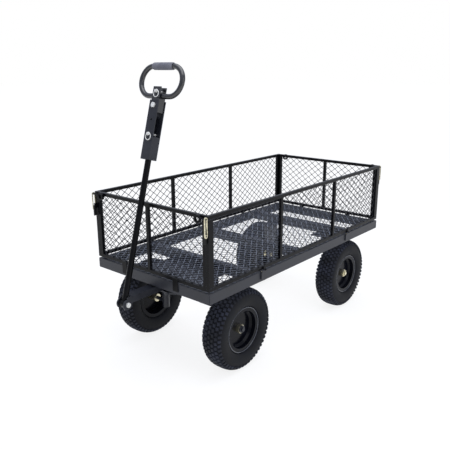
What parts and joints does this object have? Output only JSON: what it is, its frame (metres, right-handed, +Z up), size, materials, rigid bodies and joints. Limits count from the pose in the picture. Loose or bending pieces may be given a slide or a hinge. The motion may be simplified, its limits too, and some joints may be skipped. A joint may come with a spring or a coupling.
{
  "type": "garden cart",
  "caption": "Four-wheel steel garden cart with mesh drop sides, steered front axle, pneumatic tyres and a leaning pull handle that converts to a tow bar.",
  "frame": {"origin": "on the ground under the centre of the cart's box, handle included", "axes": "+X to the cart's right side, -Y towards the handle and steered front wheels, +Z up"},
  "size_m": [0.6242, 1.4, 1.1443],
  "materials": {
    "powder_coat": "satin black powder coat",
    "mesh_coat": "black coated mesh",
    "rim_enamel": "gloss black enamel",
    "zinc": "bright zinc plate",
    "tyre_rubber": "matte moulded rubber",
    "lever_plastic": "moulded black plastic",
    "grip_foam": "matte foam grip"
  },
  "bodies": {
    "chassis": {"rail_right": "powder_coat", "rail_left": "powder_coat", "rail_front": "powder_coat", "rail_rear": "powder_coat", "cross_members": "powder_coat", "deck_mesh": "mesh_coat", "panel_hinge_pins": "zinc", "end_frame_front": "powder_coat", "end_mesh_front": "mesh_coat", "end_frame_rear": "powder_coat", "end_mesh_rear": "mesh_coat", "latch_pegs": "powder_coat", "rear_stub_axles": "zinc", "rear_wheel_retainers": "zinc", "steering_plate": "powder_coat", "front_axle_beam": "powder_coat", "front_beam_brackets": "powder_coat", "rear_axle_brackets": "powder_coat", "kingbolt": "powder_coat"},
    "tongue": {"tongue": "powder_coat", "tie_rod_bolts": "powder_coat", "clevis_bolt": "zinc"},
    "knuckle_right": {"knuckle_right": "powder_coat", "kingpin_right": "powder_coat"},
    "knuckle_left": {"knuckle_left": "powder_coat", "kingpin_left": "powder_coat"},
    "tie_rod_right": {"tie_rod_right": "powder_coat"},
    "tie_rod_left": {"tie_rod_left": "powder_coat"},
    "handle": {"drawbar": "powder_coat", "tow_fork": "powder_coat", "shank_bolt": "zinc"},
    "pull_handle": {"handle_shank": "powder_coat", "pull_ring": "powder_coat", "grip": "grip_foam"},
    "lock_pin": {"lock_pin": "zinc"},
    "hitch_pin": {"hitch_pin": "zinc"},
    "side_right": {"side_frame_right": "powder_coat", "side_mesh_right": "mesh_coat"},
    "side_left": {"side_frame_left": "powder_coat", "side_mesh_left": "mesh_coat"},
    "wheel_front_right": {"tyre_front_right": "tyre_rubber", "rim_front_right": "rim_enamel", "hub_front_right": "zinc"},
    "lever_front_right": {"latch_lever_front_right": "lever_plastic"},
    "bail_front_right": {"latch_bail_front_right": "zinc"},
    "wheel_front_left": {"tyre_front_left": "tyre_rubber", "rim_front_left": "rim_enamel", "hub_front_left": "zinc"},
    "lever_front_left": {"latch_lever_front_left": "lever_plastic"},
    "bail_front_left": {"latch_bail_front_left": "zinc"},
    "wheel_rear_right": {"tyre_rear_right": "tyre_rubber", "rim_rear_right": "rim_enamel", "hub_rear_right": "zinc"},
    "lever_rear_right": {"latch_lever_rear_right": "lever_plastic"},
    "bail_rear_right": {"latch_bail_rear_right": "zinc"},
    "wheel_rear_left": {"tyre_rear_left": "tyre_rubber", "rim_rear_left": "rim_enamel", "hub_rear_left": "zinc"},
    "lever_rear_left": {"latch_lever_rear_left": "lever_plastic"},
    "bail_rear_left": {"latch_bail_rear_left": "zinc"}
  },
  "joints": [
    {"name": "steering", "type": "hinge", "parent": "chassis", "child": "tongue", "pos_m": [0, -0.436, 0.31], "axis": [0, 0, 1], "range_deg": [-24, 24]},
    {"name": "knuckle_right_turn", "type": "hinge", "parent": "chassis", "child": "knuckle_right", "pos_m": [0.15, -0.338, 0.245], "axis": [0, 0, 1], "range_deg": [-25, 25]},
    {"name": "tie_rod_right_turn", "type": "hinge", "parent": "tongue", "child": "tie_rod_right", "pos_m": [0.03, -0.496, 0.299], "axis": [0, 0, 1], "range_deg": [-25, 25]},
    {"name": "wheel_front_right_spin", "type": "hinge", "parent": "knuckle_right", "child": "wheel_front_right", "pos_m": [0.243, -0.338, 0.1625], "axis": [1, 0, 0], "continuous": true},
    {"name": "wheel_rear_right_spin", "type": "hinge", "parent": "chassis", "child": "wheel_rear_right", "pos_m": [0.243, 0.446, 0.1625], "axis": [1, 0, 0], "continuous": true},
    {"name": "knuckle_left_turn", "type": "hinge", "parent": "chassis", "child": "knuckle_left", "pos_m": [-0.15, -0.338, 0.245], "axis": [0, 0, 1], "range_deg": [-25, 25]},
    {"name": "tie_rod_left_turn", "type": "hinge", "parent": "tongue", "child": "tie_rod_left", "pos_m": [-0.03, -0.496, 0.299], "axis": [0, 0, 1], "range_deg": [-25, 25]},
    {"name": "wheel_front_left_spin", "type": "hinge", "parent": "knuckle_left", "child": "wheel_front_left", "pos_m": [-0.243, -0.338, 0.1625], "axis": [1, 0, 0], "continuous": true},
    {"name": "wheel_rear_left_spin", "type": "hinge", "parent": "chassis", "child": "wheel_rear_left", "pos_m": [-0.243, 0.446, 0.1625], "axis": [1, 0, 0], "continuous": true},
    {"name": "handle_tilt", "type": "hinge", "parent": "tongue", "child": "handle", "pos_m": [0, -0.68, 0.3075], "axis": [1, 0, 0], "range_deg": [0, 120]},
    {"name": "pull_handle_fold", "type": "hinge", "parent": "handle", "child": "pull_handle", "pos_m": [0, -0.48385, 0.99611], "axis": [0, 0.9617, -0.274], "range_deg": [0, 90]},
    {"name": "lock_pin_pull", "type": "slide", "parent": "handle", "child": "lock_pin", "axis": [0, -0.9617, 0.274], "range_m": [0, 0.06]},
    {"name": "hitch_pin_pull", "type": "slide", "parent": "pull_handle", "child": "hitch_pin", "axis": [0, -0.9617, 0.274], "range_m": [0, 0.05]},
    {"name": "side_right_fold", "type": "hinge", "parent": "chassis", "child": "side_right", "pos_m": [0.3075, 0.064, 0.387], "axis": [0, 1, 0], "range_deg": [0, 90]},
    {"name": "side_left_fold", "type": "hinge", "parent": "chassis", "child": "side_left", "pos_m": [-0.3075, 0.064, 0.387], "axis": [0, -1, 0], "range_deg": [0, 90]},
    {"name": "lever_front_right_lift", "type": "hinge", "parent": "side_right", "child": "lever_front_right", "pos_m": [0.295, -0.565, 0.6], "axis": [-1, 0, 0], "range_deg": [0, 60]},
    {"name": "bail_front_right_swing", "type": "hinge", "parent": "lever_front_right", "child": "bail_front_right", "pos_m": [0.2996, -0.565, 0.592], "axis": [-1, 0, 0], "range_deg": [-60, 0]},
    {"name": "lever_front_left_lift", "type": "hinge", "parent": "side_left", "child": "lever_front_left", "pos_m": [-0.295, -0.565, 0.6], "axis": [-1, 0, 0], "range_deg": [0, 60]},
    {"name": "bail_front_left_swing", "type": "hinge", "parent": "lever_front_left", "child": "bail_front_left", "pos_m": [-0.2996, -0.565, 0.592], "axis": [-1, 0, 0], "range_deg": [-60, 0]},
    {"name": "lever_rear_right_lift", "type": "hinge", "parent": "side_right", "child": "lever_rear_right", "pos_m": [0.295, 0.693, 0.6], "axis": [1, 0, 0], "range_deg": [0, 60]},
    {"name": "bail_rear_right_swing", "type": "hinge", "parent": "lever_rear_right", "child": "bail_rear_right", "pos_m": [0.2996, 0.693, 0.592], "axis": [1, 0, 0], "range_deg": [-60, 0]},
    {"name": "lever_rear_left_lift", "type": "hinge", "parent": "side_left", "child": "lever_rear_left", "pos_m": [-0.295, 0.693, 0.6], "axis": [1, 0, 0], "range_deg": [0, 60]},
    {"name": "bail_rear_left_swing", "type": "hinge", "parent": "lever_rear_left", "child": "bail_rear_left", "pos_m": [-0.2996, 0.693, 0.592], "axis": [1, 0, 0], "range_deg": [-60, 0]}
  ],
  "couplings": [
    {"joint": "knuckle_right_turn", "follows": "steering", "ratio": 1},
    {"joint": "knuckle_left_turn", "follows": "steering", "ratio": 1},
    {"joint": "tie_rod_right_turn", "follows": "steering", "ratio": -1},
    {"joint": "tie_rod_left_turn", "follows": "steering", "ratio": -1},
    {"joint": "bail_front_right_swing", "follows": "lever_front_right_lift", "ratio": -0.875},
    {"joint": "bail_front_left_swing", "follows": "lever_front_left_lift", "ratio": -0.875},
    {"joint": "bail_rear_right_swing", "follows": "lever_rear_right_lift", "ratio": -0.875},
    {"joint": "bail_rear_left_swing", "follows": "lever_rear_left_lift", "ratio": -0.875}
  ]
}
